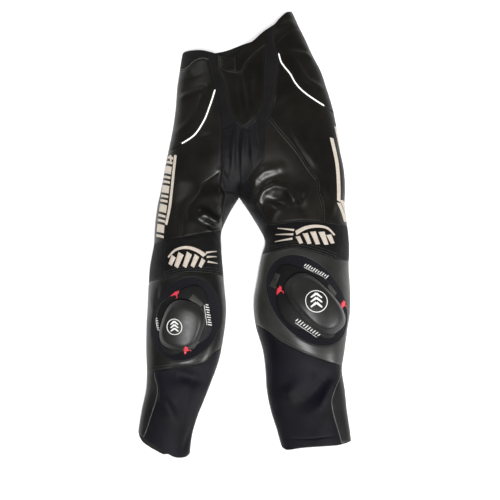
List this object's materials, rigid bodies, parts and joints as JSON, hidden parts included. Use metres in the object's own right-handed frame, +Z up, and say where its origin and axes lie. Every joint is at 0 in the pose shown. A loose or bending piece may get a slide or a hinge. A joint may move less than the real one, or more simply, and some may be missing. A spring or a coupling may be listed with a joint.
{
  "type": "leather motorcycle pants",
  "caption": "Empty black leather racing trousers laid on their back, with stretch panels, reflective hip piping and knee sliders on hook-and-loop discs.",
  "frame": {"origin": "middle of the bounding box in plan, on the surface that the back of the trousers rests on", "axes": "+Y from the hems towards the waist, +X towards the wearer's left leg, +Z up out of the front"},
  "size_m": [0.491, 1.0816, 0.123],
  "materials": {
    "leather": "black full-grain leather with a soft satin sheen",
    "knee_leather": "black leather, worn satin",
    "side_leather": "black leather, satin",
    "stretch": "matt black stretch weave",
    "ribbed_stretch": "matt black stretch weave with stitched ridges at its lower edge",
    "calf_stretch": "smooth blue-black stretch cloth with a satin sheen",
    "velcro": "navy-black hook-and-loop pile with stitched rings",
    "slider_base": "black moulded plastic, matt",
    "knee_puck": "dark grey moulded plastic, satin with polished rim",
    "reflective": "off-white reflective piping",
    "back_leather": "black leather, satin",
    "back_stretch": "matt black stretch weave"
  },
  "bodies": {
    "root": {"r_hip": "leather", "l_hip": "leather", "r_thigh_outer": "leather", "l_thigh_outer": "leather", "r_thigh_inner": "leather", "l_thigh_inner": "leather", "fly": "leather", "waistband": "leather", "l_waist_side": "leather", "closure_tab": "leather", "r_knee": "knee_leather", "l_knee": "knee_leather", "r_calf_side": "side_leather", "l_calf_side": "side_leather", "r_waist_side": "stretch", "r_groin": "stretch", "l_groin": "stretch", "gusset": "stretch", "r_inner_strip": "stretch", "l_inner_strip": "stretch", "r_knee_side": "stretch", "l_knee_side": "stretch", "r_above_knee": "ribbed_stretch", "l_above_knee": "ribbed_stretch", "r_calf": "calf_stretch", "l_calf": "calf_stretch", "r_velcro_disc": "velcro", "l_velcro_disc": "velcro", "r_slider_base": "slider_base", "l_slider_base": "slider_base", "r_knee_puck": "knee_puck", "l_knee_puck": "knee_puck", "r_piping": "reflective", "l_piping": "reflective", "back_waistband": "back_leather", "r_seat": "back_leather", "l_seat": "back_leather", "r_thigh_back": "back_leather", "l_thigh_back": "back_leather", "r_calf_back": "back_leather", "l_calf_back": "back_leather", "back_yoke": "back_stretch", "r_knee_back": "back_stretch", "l_knee_back": "back_stretch"}
  },
  "joints": []
}
